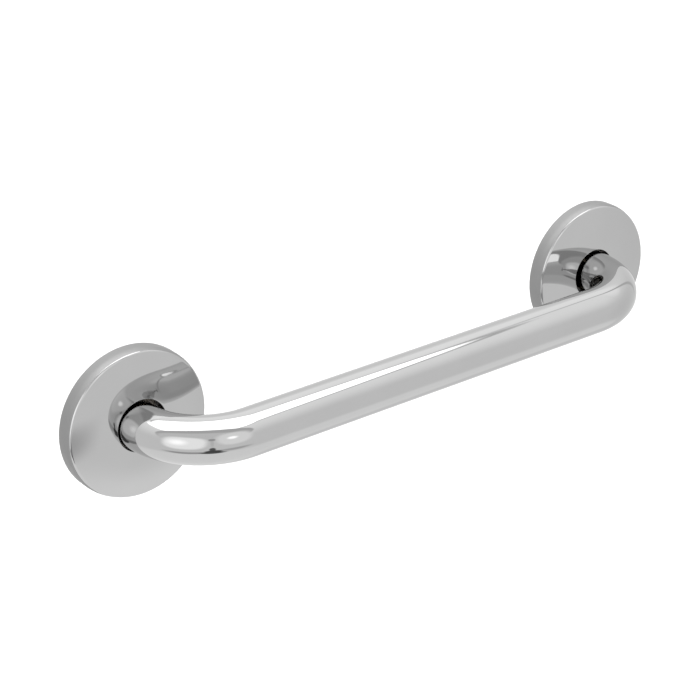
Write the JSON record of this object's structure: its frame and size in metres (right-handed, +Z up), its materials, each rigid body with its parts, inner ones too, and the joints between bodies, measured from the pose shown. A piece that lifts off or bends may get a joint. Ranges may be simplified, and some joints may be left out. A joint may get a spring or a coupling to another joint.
{
  "type": "grab rail",
  "caption": "Straight polished steel grab rail: one bent tube welded to round wall plates, with push-on roses that hide the screws.",
  "frame": {"origin": "on the wall plane, midway between the two plates and centred on their screws", "axes": "+X along the rail to the right plate, +Y into the wall, +Z up; the rail stands off towards -Y"},
  "size_m": [0.385, 0.075, 0.08],
  "materials": {
    "polished_tube": "mirror polished",
    "polished_rose": "mirror polished pressed sheet",
    "black_nylon": "moulded",
    "plate_steel": "mill finish, turned edge",
    "weld_steel": "as welded, brushed",
    "zinc_steel": "bright zinc plated"
  },
  "bodies": {
    "rail": {"rail_tube": "polished_tube", "left_fixing_plate": "plate_steel", "left_weld_bead": "weld_steel", "left_washers": "zinc_steel", "left_screws": "zinc_steel", "right_fixing_plate": "plate_steel", "right_weld_bead": "weld_steel", "right_washers": "zinc_steel", "right_screws": "zinc_steel"},
    "left_grip_ring": {"left_grip_ring": "black_nylon"},
    "left_rose": {"left_rose": "polished_rose"},
    "right_grip_ring": {"right_grip_ring": "black_nylon"},
    "right_rose": {"right_rose": "polished_rose"}
  },
  "joints": [
    {"name": "left_rose_slide", "type": "slide", "parent": "rail", "child": "left_grip_ring", "axis": [0, -1, 0], "range_m": [0, 0.0075]},
    {"name": "left_rose_turn", "type": "hinge", "parent": "left_grip_ring", "child": "left_rose", "pos_m": [-0.1525, 0, 0], "axis": [0, -1, 0], "continuous": true},
    {"name": "right_rose_slide", "type": "slide", "parent": "rail", "child": "right_grip_ring", "axis": [0, -1, 0], "range_m": [0, 0.0075]},
    {"name": "right_rose_turn", "type": "hinge", "parent": "right_grip_ring", "child": "right_rose", "pos_m": [0.1525, 0, 0], "axis": [0, -1, 0], "continuous": true}
  ]
}
